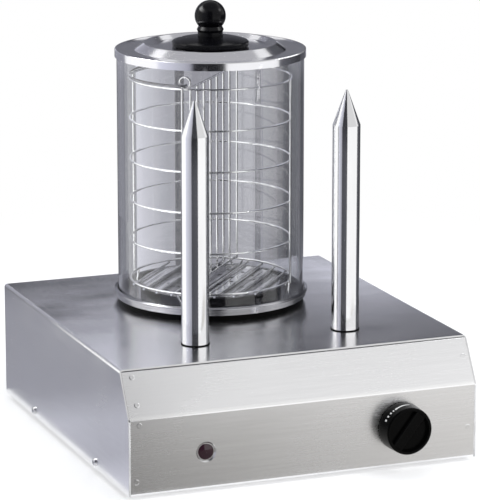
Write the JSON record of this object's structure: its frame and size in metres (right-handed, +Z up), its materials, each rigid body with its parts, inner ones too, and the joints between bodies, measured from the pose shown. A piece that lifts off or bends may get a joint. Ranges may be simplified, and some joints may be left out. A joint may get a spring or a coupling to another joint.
{
  "type": "hot dog toaster",
  "caption": "Hot dog toaster: steel base with two heated bun spikes, a control knob and pilot lamp, and a glass steaming tower with wire basket and lid.",
  "frame": {"origin": "on the surface that the feet stand on, at the middle of the whole object's footprint", "axes": "+Z up, front panel with the control knob towards -Y, +X to the right as seen from the front"},
  "size_m": [0.3834, 0.4492, 0.4532],
  "materials": {
    "casing_steel": "brushed sheet, satin",
    "inner_steel": "plain mill finish",
    "polished_steel": "polished pressing",
    "spike_metal": "fine turned, nearly polished",
    "wire_steel": "electropolished wire",
    "fastener_steel": "plated",
    "clear_glass": "clear, ground edges",
    "black_plastic": "moulded, satin gloss",
    "black_ring": "heat-proof, matt",
    "black_rubber": "moulded",
    "lens": "dark red, translucent",
    "pale_plastic": "moulded",
    "control_plastic": "moulded",
    "aluminium": "plain",
    "heater_steel": "heat-darkened",
    "copper": "copper, plain",
    "brass": "plain"
  },
  "bodies": {
    "base": {"top_cover": "casing_steel", "front_panel": "casing_steel", "rear_panel": "casing_steel", "bottom_plate": "inner_steel", "rear_angles": "inner_steel", "rubber_feet": "black_rubber", "foot_screws": "fastener_steel", "foot_nuts": "fastener_steel", "side_screws": "fastener_steel", "rear_screws": "fastener_steel", "insulating_ring": "black_ring", "water_pan": "polished_steel", "pan_brackets": "inner_steel", "spike_left": "spike_metal", "spike_right": "spike_metal", "spike_washers": "black_ring", "spike_nuts": "fastener_steel", "spike_heaters": "heater_steel", "thermostat_body": "control_plastic", "thermostat_screws": "fastener_steel", "sensor_bulb": "copper", "pilot_lamp_lens": "lens", "pilot_lamp_body": "control_plastic", "pilot_lamp_nut": "fastener_steel", "heat_spreader": "aluminium", "heating_element": "heater_steel", "element_clamp": "inner_steel", "clamp_stud": "fastener_steel", "clamp_nut": "fastener_steel", "thermal_cutout": "control_plastic", "cable_gland": "control_plastic", "gland_nut": "control_plastic", "terminal_block": "pale_plastic", "terminal_screws": "brass", "earth_stud": "fastener_steel", "earth_nut": "fastener_steel"},
    "glass_tube": {"glass_cylinder": "clear_glass"},
    "strainer": {"strainer_plate": "polished_steel"},
    "basket": {"basket_rings": "wire_steel", "basket_uprights": "wire_steel", "basket_floor": "wire_steel", "basket_partition": "wire_steel", "basket_feet": "wire_steel", "basket_eyes": "wire_steel"},
    "bail": {"bail_handle": "wire_steel"},
    "lid": {"lid_plate": "polished_steel", "lid_knob": "black_plastic", "lid_washer": "fastener_steel", "lid_screw": "fastener_steel"},
    "knob": {"control_knob": "black_plastic", "thermostat_shaft": "fastener_steel"}
  },
  "joints": [
    {"name": "glass_lift", "type": "slide", "parent": "base", "child": "glass_tube", "axis": [0, 0, 1], "range_m": [0, 0.06]},
    {"name": "strainer_lift", "type": "slide", "parent": "glass_tube", "child": "strainer", "axis": [0, 0, 1], "range_m": [0, 0.28]},
    {"name": "basket_lift", "type": "slide", "parent": "strainer", "child": "basket", "axis": [0, 0, 1], "range_m": [0, 0.27]},
    {"name": "lid_lift", "type": "slide", "parent": "basket", "child": "lid", "axis": [0, 0, 1], "range_m": [0, 0.12]},
    {"name": "bail_swing", "type": "hinge", "parent": "basket", "child": "bail", "pos_m": [0, 0.0658, 0.37465], "axis": [0.6428, 0.766, 0], "range_deg": [0, 91]},
    {"name": "knob_turn", "type": "hinge", "parent": "base", "child": "knob", "pos_m": [0.105, -0.2029, 0.0468], "axis": [0, 1, 0], "range_deg": [0, 270]}
  ],
  "couplings": [
    {"joint": "bail_swing", "follows": "lid_lift", "rad_per_m": 13.09}
  ]
}
